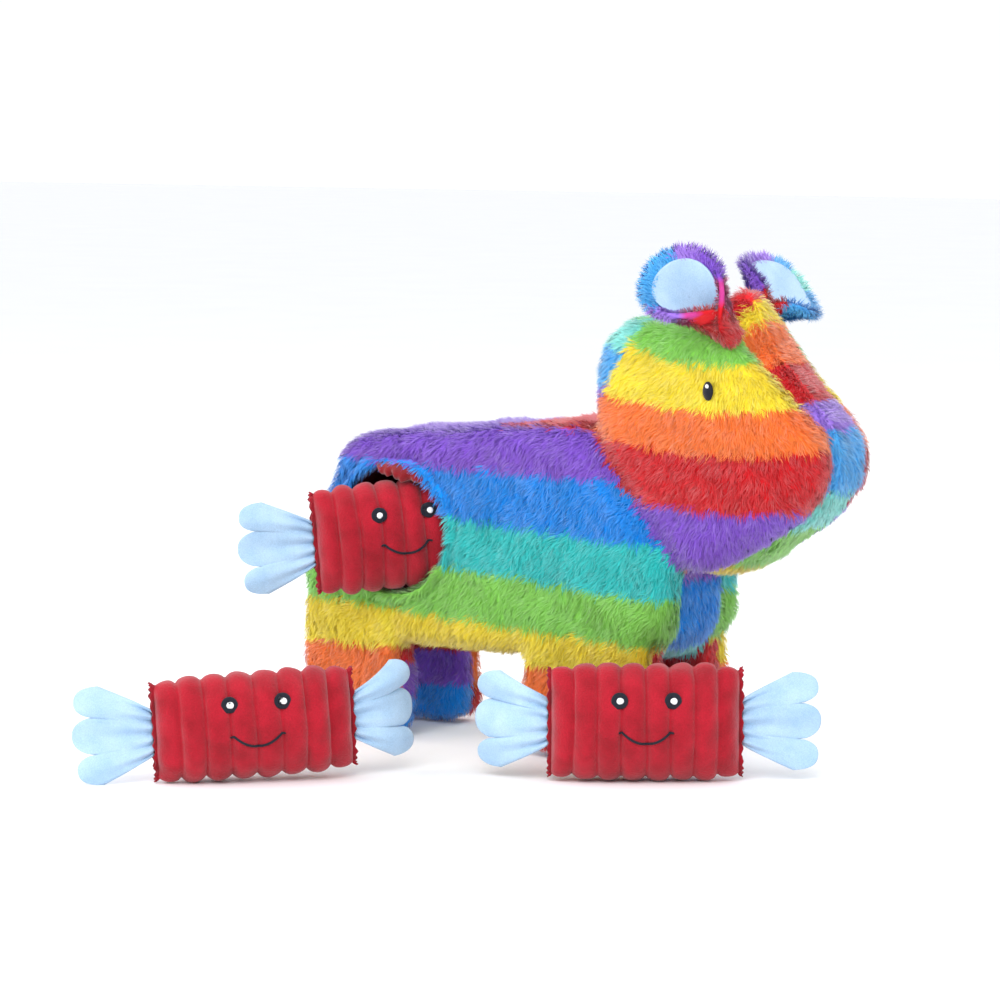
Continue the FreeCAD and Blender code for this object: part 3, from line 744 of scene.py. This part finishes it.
def donkey_eyes():
    """Embroidered ovals set a little into the pile, each with one white stitch."""
    for side, sign in SIDES.items():
        low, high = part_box(f"{side}_eye")
        middle, half = (low + high) / 2, (high - low) / 2
        out = Vector((0, sign, 0))
        middle.y = MIDDLE + sign * (CHEEK - 1.2 * MM)
        eye = dome(f"{side}_eye_stitching", middle, Vector((1, 0, 0)), Vector((0, 0, 1)), out,
                   half.x * 0.92, half.z * 0.92, 2.2 * MM)
        eye.data.materials.append(MATERIALS["black_thread"])
        wear(eye, "donkey", [f"{side}_eye"])
        spot = middle + Vector((0.5 * MM, 0, 2.4 * MM)) + out * 1.8 * MM
        glint = dome(f"{side}_eye_glint", spot, Vector((1, 0, 0)), Vector((0, 0, 1)), out,
                     1.0 * MM, 1.1 * MM, 0.5 * MM, 4, 14)
        glint.data.materials.append(MATERIALS["white_thread"])
        wear(glint, "donkey", [f"{side}_eye_highlight"])


# ---- ears

EAR_RINGS, EAR_TURNS = 22, 72
EAR_TAILS = {"right": 3 * MM, "left": 2 * MM}
EAR_ROLL_START = 2.4
EAR_ROLL = {"right": 0.014, "left": 0.06}
EAR_CLOTH, EAR_LINING = 2.4 * MM, 0.8 * MM


def ear_axes(side):
    """The ear's seat, the ways along it, across it and out of its lining, and its radius."""
    joint = JOINTS[f"{side}_ear_flop"]
    seat, across = Vector(joint["pos_m"]), Vector(joint["axis"]).normalized()
    low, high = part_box(f"{side}_ear_back")
    along = (low + high) / 2 - seat
    along = (along - across * along.dot(across)).normalized()
    facing = along.cross(across)
    places = places_of(frame["nodes"][f"{side}_ear_back"].data) - np.array(seat)
    reach = (places @ np.array(along)).max()
    radius = np.abs(places @ np.array(across)).max()
    return seat, along, across, facing, reach - radius, radius


def ear_sheet(side, radius_share, lifted, tail):
    """A round sheet rolled into a cone at its seat, by rings from the middle to the rim.

    tail is how far its lower end runs towards the head beyond the seat."""
    seat, along, across, facing, middle, radius = ear_axes(side)
    round_way = radius * radius_share
    places = []
    for ring in range(EAR_RINGS + 1):
        share = ring / EAR_RINGS
        for turn in range(EAR_TURNS):
            angle = 2 * math.pi * turn / EAR_TURNS
            reach = round_way if math.cos(angle) > 0 else middle + tail
            x = middle + reach * share * math.cos(angle)
            y = round_way * share * math.sin(angle)
            away = max(x + 3 * MM, 0) / MM
            tighter = 0.85 if y * across.z < 0 else 1.1
            roll = (EAR_ROLL_START + EAR_ROLL[side] * away ** 2) * MM * tighter
            bend = y / roll
            rim = 1.3 * MM * share ** 3 * math.sin(3 * angle + (1 if side == "left" else 2.4))
            z = roll * (1 - math.cos(bend)) - 3 * MM + rim + lifted
            y = (roll - lifted) * math.sin(bend)
            places.append(seat + along * x + across * y + facing * z)
    return np.array([tuple(place) for place in places])


def ear_centre(side):
    """The middle of the ear's round part."""
    seat, along, _, _, middle, _ = ear_axes(side)
    return np.array(seat + along * middle)


# Where each colour of the ears' fringe ends, in degrees from the tip, and the colours.
EAR_EDGES = {"right": (62, 100, 128, 160, 200, 252, 300, 330),
             "left": (30, 60, 165, 195, 320)}
EAR_COLOURS = {"right": ("sky", "lilac", "magenta", "red", "red", "magenta", "purple", "lilac",
                         "sky"),
               "left": ("sky", "lilac", "purple", "red", "sky", "aqua")}


def ear_stripes(side):
    """Bands of colour round the ear, by the angle about its middle."""
    _, along, across, _, _, _ = ear_axes(side)
    centre = donkey_mm(ear_centre(side))

    def stripes(p):
        apart = p - centre
        angle = np.degrees(np.arctan2(apart @ np.array(across), apart @ np.array(along)))
        return bands(angle % 360, EAR_EDGES[side], EAR_COLOURS[side])
    return stripes


def ear_heading(side):
    """The ear's pile points away from its middle."""
    centre = donkey_mm(ear_centre(side))
    return lambda p: p - centre


def ears():
    """Plush cups with a smooth lining that stops short of the rim.

    The first ring of each sheet is drawn together to a point."""
    faces = grid_faces(EAR_RINGS, EAR_TURNS, closed=True)
    for side in SIDES:
        plush = mesh_from(f"{side}_ear_cloth", ear_sheet(side, 0.92, 0, EAR_TAILS[side]), faces)
        stripes = ear_stripes(side)
        dye = stripes(donkey_mm(places_of(plush)))
        paint(plush, soft_colours(dye, places_of(plush), EAR_DYE_SEED))
        plush.materials.append(MATERIALS["backing"])
        back = new_object(f"{side}_ear_cloth", plush)
        thicken(back, EAR_CLOTH)
        wear(back, f"{side}_ear", [f"{side}_ear_back"])
        solid = final_mesh(back)
        _, _, _, facing, _, radius = ear_axes(side)

        def furry(triangles, mesh=solid, centre=ear_centre(side), facing=facing,
                  radius=radius):
            """True away from the lined part of the front, which carries no pile."""
            spots = places_of(mesh)[triangles].mean(1)
            out = normals_of(mesh)[triangles].mean(1)
            apart = spots - centre
            from_middle = np.linalg.norm(apart - np.outer(apart @ np.array(facing),
                                                          np.array(facing)), axis=1)
            return ~((out @ np.array(facing) > 0.2) & (from_middle < radius * 0.62))

        pile = grow_pile(f"{side}_ear_pile", solid, furry, stripes, ear_heading(side), 0.85,
                         EAR_PILE_SEED + SIDES[side] * 20, tufts=TUFTS * 1.3)
        wear(pile, f"{side}_ear")
        lining = mesh_from(f"{side}_ear_lining_cloth",
                           ear_sheet(side, 0.78, 0.9 * MM, 1 * MM), faces)
        lining.materials.append(MATERIALS["ear_lining"])
        inside = new_object(f"{side}_ear_lining_cloth", lining)
        thicken(inside, EAR_LINING, offset=1)
        wear(inside, f"{side}_ear", [f"{side}_ear_lining"])


# ---- sweets

BODY_LENGTHS, BODY_TURNS = 14 * WALES, 84


def sweet_axes(name):
    """The sweet's own axes in the frame: +X along it, -Y out of its face, +Z up its height."""
    rear = Vector(JOINTS[f"{name}_rear_frill_bend"]["pos_m"])
    front = Vector(JOINTS[f"{name}_front_frill_bend"]["pos_m"])
    along = (front - rear).normalized()
    up = Vector(JOINTS[f"{name}_rear_frill_bend"]["axis"]).normalized()
    side = up.cross(along)
    place = Matrix((along, side, up)).transposed().to_4x4()
    place.translation = (rear + front) / 2
    return place


def own_places(node, place):
    """Where a CAD node's vertices are in the axes of place."""
    own = np.array(place.inverted())
    return places_of(frame["nodes"][node].data) @ own[:3, :3].T + own[:3, 3]


def sweet_size(name, place):
    """Length, thickness and height of the sweet's cover in its own axes."""
    local = own_places(f"{name}_cover", place)
    return local.max(0) - local.min(0)


def pillow(length, thick, tall):
    """Rings of the stuffed body: flat seams at its ends and fuller towards the middle."""
    places = []
    for step in range(BODY_LENGTHS + 1):
        share = 2 * step / BODY_LENGTHS - 1
        half_tall = tall / 2 * (1 - 0.1 * abs(share) ** 5) - WALE_DEPTH * 0.3
        full = max(1 - abs(share) ** 3.4, 0) ** 0.5
        half_deep = (thick / 2 - WALE_DEPTH * 0.4) * full * 0.9 + 2.2 * MM
        for turn in range(BODY_TURNS):
            angle = 2 * math.pi * turn / BODY_TURNS
            y = math.copysign(abs(math.cos(angle)) ** 0.85, math.cos(angle)) * half_deep
            z = math.sin(angle) * half_tall
            places.append((share * (length / 2 - 1.4 * MM), y, z))
    return np.array(places), grid_faces(BODY_LENGTHS, BODY_TURNS, closed=True, flipped=True)


def close_ends(faces):
    """Joins front and back of each end seam straight across."""
    out = list(faces)
    quarter, half = BODY_TURNS // 4, BODY_TURNS // 2
    for start, flip in ((0, False), (BODY_LENGTHS * BODY_TURNS, True)):
        for step in range(-quarter, quarter):
            a, b = start + step % BODY_TURNS, start + (step + 1) % BODY_TURNS
            c = start + (half - step - 1) % BODY_TURNS
            d = start + (half - step) % BODY_TURNS
            corners = (d, c, b, a) if flip else (a, b, c, d)
            if len(set(corners)) == 4:
                out.append(corners)
            elif len(set(corners)) == 3:
                out.append(tuple(dict.fromkeys(corners)))
    return out


def inflate(made):
    """Lets pressure push the cover out against its end seams, for a short while."""
    rest = places_of(made.data)
    pins = made.vertex_groups.new(name="seams")
    last = BODY_LENGTHS * BODY_TURNS
    seams = [*range(2 * BODY_TURNS), *range(last - BODY_TURNS, last + BODY_TURNS)]
    pins.add(seams, 1.0, "REPLACE")
    cloth = made.modifiers.new("stuffed", "CLOTH")
    cloth.settings.use_pressure = True
    cloth.settings.uniform_pressure_force = 4
    cloth.settings.effector_weights.gravity = 0
    cloth.settings.vertex_group_mass = "seams"
    cloth.settings.quality = 5
    cloth.settings.mass = 0.2
    cloth.settings.tension_stiffness = 25
    cloth.settings.compression_stiffness = 25
    cloth.settings.bending_stiffness = 0.6
    for number in range(1, 21):
        bpy.context.scene.frame_set(number)
    moved = places_of(final_mesh(made)) - rest
    made.modifiers.remove(cloth)
    bpy.context.scene.frame_set(1)
    distance = np.linalg.norm(moved, axis=1, keepdims=True)
    return rest + moved * np.minimum(1, PRESSURE_CAP / np.maximum(distance, 1e-9))


def raise_wales(mesh, length, seed):
    """Round ribs that run up the height, with narrow valleys between and uneven stuffing."""
    places, out = places_of(mesh), normals_of(mesh)
    rng = np.random.default_rng(seed)
    bend = 0.5 * MM * waves(places, 34 * MM, seed)
    turn = (places[:, 0] + bend) / length * WALES
    share = turn - np.floor(turn)
    rib = np.sqrt(np.clip(1 - (2 * share - 1) ** 2, 0, 1))
    size = rng.uniform(0.85, 1.12, WALES + 2)[np.clip(np.floor(turn).astype(int) + 1
                                                      + WALES // 2, 0, WALES + 1)]
    ends = np.clip((1 - np.abs(places[:, 0]) / (length / 2)) / 0.06, 0, 1)
    lumps = 0.55 * MM * waves(places, 15 * MM, seed + 1)
    rise = ((rib - 0.75) * WALE_DEPTH * size + lumps) * (0.35 + 0.65 * ends)
    return places + out * rise[:, None]


def stuffed_body(name, size, seed):
    """The corduroy pillow of one sweet, still in its own axes."""
    length, thick, tall = size
    places, faces = pillow(length, thick, tall)
    mesh = bpy.data.meshes.new(f"{name}_corduroy")
    mesh.from_pydata(places.tolist(), [], close_ends(faces))
    mesh.update()
    made = new_object(f"{name}_corduroy", mesh)
    move_to(mesh, inflate(made))
    move_to(mesh, raise_wales(mesh, length, seed))
    mesh.shade_smooth()
    mesh.materials.append(MATERIALS["corduroy"])
    finer = made.modifiers.new("finer", "SUBSURF")
    finer.levels = finer.render_levels = 1
    return made


def end_edge(name, end, size, seed):
    """The pinked edge of the end seam: a short ruffled ribbon, frayed into points."""
    length, _, tall = size
    sign = 1 if end == "front" else -1
    around, rows = 96, 5
    rng = np.random.default_rng(seed)
    places = []
    for row in range(rows):
        share = row / (rows - 1)
        for step in range(around):
            angle = 2 * math.pi * step / around
            point = abs((step % 4) / 2 - 1)
            ruffle = 1.1 * MM * math.sin(angle * 9 + seed) * share
            reach = END_SEAM * share * (0.7 + 0.45 * point + 0.12 * rng.random())
            y = math.cos(angle) * (2.4 * MM + 1.3 * MM * share) + ruffle
            z = math.sin(angle) * (tall / 2 * 0.86 + 1.6 * MM * share)
            places.append((sign * (length / 2 - 2.6 * MM + reach), y, z))
    faces = grid_faces(rows - 1, around, closed=True, flipped=True)
    if sign < 0:
        faces = [quad[::-1] for quad in faces]
    made = new_object(f"{name}_{end}_pinked_edge",
                      mesh_from(f"{name}_{end}_pinked_edge", places, faces))
    made.data.materials.append(MATERIALS["corduroy_edge"])
    thicken(made, EDGE_THICKNESS)
    return made


def on_front(tree, x, z, lift):
    """The point of the sweet's front over x and z, lifted off the cloth."""
    hit, out, _, _ = tree.ray_cast(Vector((x, -0.1, z)), Vector((0, 1, 0)))
    return hit + out * lift


def stitched_line(name, tree, points, half_width):
    """A line of slanting satin stitches that follows the cloth."""
    spots = [on_front(tree, x, z, 0.15 * MM) for x, z in points]
    curve = bpy.data.curves.new(name, "CURVE")
    curve.dimensions = "3D"
    curve.bevel_depth = half_width
    curve.bevel_resolution = 3
    curve.resolution_u = 4
    spline = curve.splines.new("NURBS")
    spline.points.add(len(spots) - 1)
    for point, spot in zip(spline.points, spots):
        point.co = (*spot, 1)
    spline.order_u = 3
    spline.use_endpoint_u = True
    curve.use_fill_caps = True
    drawn = new_object(name, curve)
    mesh = final_mesh(drawn)
    bpy.data.objects.remove(drawn)
    mesh.shade_smooth()
    return new_object(name, mesh)


def stitched_patch(name, tree, x, z, radius, height, level=None, raised=0.0, rings=9,
                   turns=32):
    """A round patch of stitching that evens out the wales under it, and its outermost level."""
    places = [tuple(on_front(tree, x, z, height))]
    for ring in range(1, rings + 1):
        share = ring / rings
        for turn in range(turns):
            angle = 2 * math.pi * turn / turns
            spot = on_front(tree, x + radius * share * math.cos(angle),
                            z + radius * share * math.sin(angle),
                            height * (1 - share ** 4) - 0.3 * MM * (ring == rings))
            places.append(tuple(spot))
    places = np.array(places)
    level = places[:, 1].min() if level is None else level
    places[:, 1] = places[:, 1] * 0.3 + (level + 0.3 * MM) * 0.7 - raised
    made = new_object(name, mixed_mesh(name, places, fan_faces(rings, turns)))
    thicken(made, STITCHES_DEPTH)
    return made, level


def sweet_face(name, tree):
    """Two round eyes with a white stitch each, and a smile hooked at both ends."""
    eye_apart, eye_up, eye_radius = 25.5 * MM, 12.5 * MM, 4.0 * MM
    eyes, glints = [], []
    for sign in (-1, 1):
        label = "left" if sign > 0 else "right"
        eye, level = stitched_patch(f"{name}_{label}_eye", tree, sign * eye_apart / 2, eye_up,
                                    eye_radius, 0.7 * MM)
        glint, _ = stitched_patch(f"{name}_{label}_glint", tree,
                                  sign * eye_apart / 2 + 0.3 * MM, eye_up, 1.6 * MM,
                                  0.7 * MM, level, 0.75 * MM, 4, 16)
        eyes.append(eye)
        glints.append(glint)
    half, sag, top = 11.5 * MM, 5.6 * MM, -2.6 * MM
    smile = []
    for step in range(17):
        share = 2 * step / 16 - 1
        smile.append((share * half, top - sag * (1 - share ** 2)))
    hooks = []
    for sign in (-1, 1):
        hooks.append([(sign * half * 0.9, top - sag * 0.22), (sign * half, top + 0.6 * MM),
                      (sign * (half + 1.6 * MM), top - 0.6 * MM)])
    lines = [stitched_line(f"{name}_smile", tree, smile, 0.62 * MM)]
    for number, hook in enumerate(hooks):
        lines.append(stitched_line(f"{name}_smile_hook_{number}", tree, hook, 0.5 * MM))
    return eyes, glints, lines


# The thickness of the felt of a wrapper end.
FELT_THICKNESS = 0.9 * MM

# How far a wrapper end curls back from the viewer, in radians.
CURLED_BACK = {("rear_sweet", "front"): 0.6, ("front_sweet", "rear"): 0.45}


def frill_sheet(name, end, seed):
    """A thin felt wrapper end: gathered at its root, fanned out and cut into three lobes."""
    sign = 1 if end == "front" else -1
    place = sweet_axes(name)
    joint = Vector(JOINTS[f"{name}_{end}_frill_bend"]["pos_m"])
    start = (place.inverted() @ joint).x * sign
    local = own_places(f"{name}_{end}_frill", place)
    reach = np.abs(local[:, 0]).max() - start
    middle = (local[:, 2].max() + local[:, 2].min()) / 2
    half_tip = (local[:, 2].max() - local[:, 2].min()) / 2
    half_root = 10.5 * MM
    rng = np.random.default_rng(seed)
    phase, lean, curl = rng.uniform(0, 6.28), rng.uniform(-1, 1), rng.uniform(0.6, 1.0)
    back = CURLED_BACK.get((name, end), 0.1)
    rows, columns = 44, 90
    spots = []
    for row in range(rows + 1):
        out = row / rows
        for column in range(columns + 1):
            across = 2 * column / columns - 1
            lobe = across * 1.5 - round(across * 1.5)
            end_reach = 0.7 + 0.3 * math.sqrt(max(1 - (2 * abs(lobe)) ** 2.4, 0))
            spread = half_root + (half_tip - half_root) * out ** 0.75
            x = start + reach * out * end_reach * math.cos(across * 0.42) * 1.03
            z = middle + spread * (math.sin(across * 1.2) / math.sin(1.2))
            z += out ** 2 * half_tip * 0.06 * math.copysign(abs(across) ** 3, across)
            gathers = 1.6 * MM * (1 - out) ** 2.4 * math.sin(across * 15 + phase)
            folds = 3.0 * MM * out ** 0.6 * math.sin(across * 5.2 + phase) * curl
            tilt = 2.2 * MM * out * lean * across
            x -= 3.4 * MM
            y = gathers + folds + tilt + (x - start) * math.sin(back) * out
            x = start + (x - start) * (1 - out * (1 - math.cos(back)))
            spots.append((sign * x, y, z))
    mesh = mesh_from(f"{name}_{end}_frill_felt", spots, grid_faces(rows, columns))
    mesh.materials.append(MATERIALS["felt"])
    made = new_object(mesh.name, mesh)
    thicken(made, FELT_THICKNESS, offset=0)
    return made


def sweet(name, number):
    """One whole sweet, built in its own axes and then laid in its place."""
    place = sweet_axes(name)
    size = sweet_size(name, place)
    body = stuffed_body(name, size, BODY_SEED + number)
    shown = final_mesh(body)
    tree = BVHTree.FromPolygons(places_of(shown).tolist(), triangles_of(shown).tolist())
    eyes, glints, lines = sweet_face(name, tree)
    edges = [end_edge(name, end, size, EDGE_SEED + number) for end in ("rear", "front")]
    for piece in (*eyes, *lines):
        piece.data.materials.append(MATERIALS["black_thread"])
    for piece in glints:
        piece.data.materials.append(MATERIALS["white_thread"])
    for piece in (body, *eyes, *glints, *lines, *edges):
        piece.matrix_world = place
    wear(body, name, [f"{name}_cover", f"{name}_stuffing"])
    for piece in edges:
        wear(piece, name)
    for piece in (*eyes, *lines):
        wear(piece, name, [f"{name}_face_stitching"])
    for piece in glints:
        wear(piece, name, [f"{name}_eye_highlights"])
    for turn, end in enumerate(("rear", "front")):
        felt = frill_sheet(name, end, FRILL_SEED + number * 2 + turn)
        felt.matrix_world = place
        wear(felt, f"{name}_{end}_end", [f"{name}_{end}_frill"])
    for inner in ("squeaker_bulb", "squeaker_reed"):
        node = frame["nodes"][f"{name}_{inner}"]
        node.data.materials.clear()
        node.data.materials.append(MATERIALS["squeaker"])


# ---- pocket's mouth

def mouth_place():
    """Middle and radius of the mouth, from the near end of the lining's tube."""
    lined = places_of(frame["nodes"]["pocket_lining"].data)
    tube = lined[np.abs(lined[:, 1] - lined[:, 1].min()) < 0.05 * MM]
    middle = (tube.max(0) + tube.min(0)) / 2
    radius = (tube[:, 2].max() - tube[:, 2].min()) / 2
    return middle[0], middle[2], radius


MOUTH_X, MOUTH_Z, MOUTH_RADIUS = mouth_place()


def mouth_fold():
    """A crumple of the dark red lining that hangs out of the top of the mouth."""
    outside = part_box("right_side_panel")[0].y
    rows, columns = 18, 60
    spots = []
    for row in range(rows + 1):
        out = row / rows
        for column in range(columns + 1):
            share = column / columns
            angle = math.radians(42 + 72 * share)
            edge = math.sin(math.pi * share) ** 0.5
            crumple = math.sin(share * 19 + out * 3) + 0.6 * math.sin(share * 43 + 1)
            away = MOUTH_RADIUS + 1.5 * MM - 10.5 * MM * out * edge + 0.7 * MM * crumple * out
            y = 6.5 * MM - 10.5 * MM * math.sin(2.2 * out) * edge + 1.0 * MM * crumple * out
            spots.append((MOUTH_X + away * math.cos(angle), outside + y,
                          MOUTH_Z + away * math.sin(angle)))
    mesh = mesh_from("pocket_lining_fold", spots, grid_faces(rows, columns, flipped=True))
    mesh.materials.append(MATERIALS["pocket_lining"])
    made = new_object("pocket_lining_fold", mesh)
    thicken(made, CLOTH_THICKNESS)
    wear(made, "donkey")


# ---- stage

def area_light(name, place, aim, size, watts):
    """A square soft light at place that points at aim."""
    light = bpy.data.lights.new(name, "AREA")
    light.shape = "SQUARE"
    light.size = size
    light.energy = watts
    made = new_object(name, light)
    made.location = place
    made.rotation_euler = (Vector(aim) - Vector(place)).to_track_quat("-Z", "Y").to_euler()


def studio():
    """A pale floor, soft lights on both sides and a bright even surround."""
    far = 9
    corners = [(-far, -far, 0), (far, -far, 0), (far, far, 0), (-far, far, 0)]
    floor = new_object("floor", mesh_from("floor", corners, [(0, 1, 2, 3)]))
    made, tree, shader = new_material("pale_floor", 0.6)
    speck = noise_node(tree, 8, 2)
    tree.links.new(ramp(tree, speck, (0.93, 0.94, 0.96), (0.95, 0.96, 0.98)),
                   shader.inputs["Base Color"])
    floor.data.materials.append(made)
    area_light("key", (0.5, -1.4, 1.5), (0, 0, 0.1), 1.4, 25)
    area_light("fill", (-1.3, -0.9, 0.9), (0, 0, 0.1), 1.6, 11)
    area_light("rim", (0.3, 1.4, 1.3), (0, 0, 0.15), 1.4, 9)
    world = bpy.data.worlds.new("surround")
    bpy.context.scene.world = world
    world.use_nodes = True
    background = world.node_tree.nodes["Background"]
    background.inputs["Color"].default_value = (0.97, 0.98, 1.0, 1)
    background.inputs["Strength"].default_value = 1.05
    bpy.context.scene.view_settings.view_transform = "Standard"


def camera():
    """A long lens, level with the toy and a third of the way round from its side."""
    azimuth, pitch, distance = math.radians(34), math.radians(6), 2.0
    sensor, lens_to_sensor = 36, 3.92
    target = Vector((RUMP + 94 * MM, MIDDLE + 7 * MM, 121 * MM))
    back = Vector((math.sin(azimuth) * math.cos(pitch), -math.cos(azimuth) * math.cos(pitch),
                   math.sin(pitch)))
    data = bpy.data.cameras.new("camera")
    data.sensor_width = sensor
    data.lens = sensor * lens_to_sensor
    made = new_object("camera", data)
    made.location = target + back * distance
    made.rotation_euler = (-back).to_track_quat("-Z", "Y").to_euler()
    bpy.context.scene.camera = made


donkey()
donkey_eyes()
ears()
for order, sweet_name in enumerate(SWEETS):
    sweet(sweet_name, order)
mouth_fold()
studio()
camera()

bpy.context.view_layer.update()
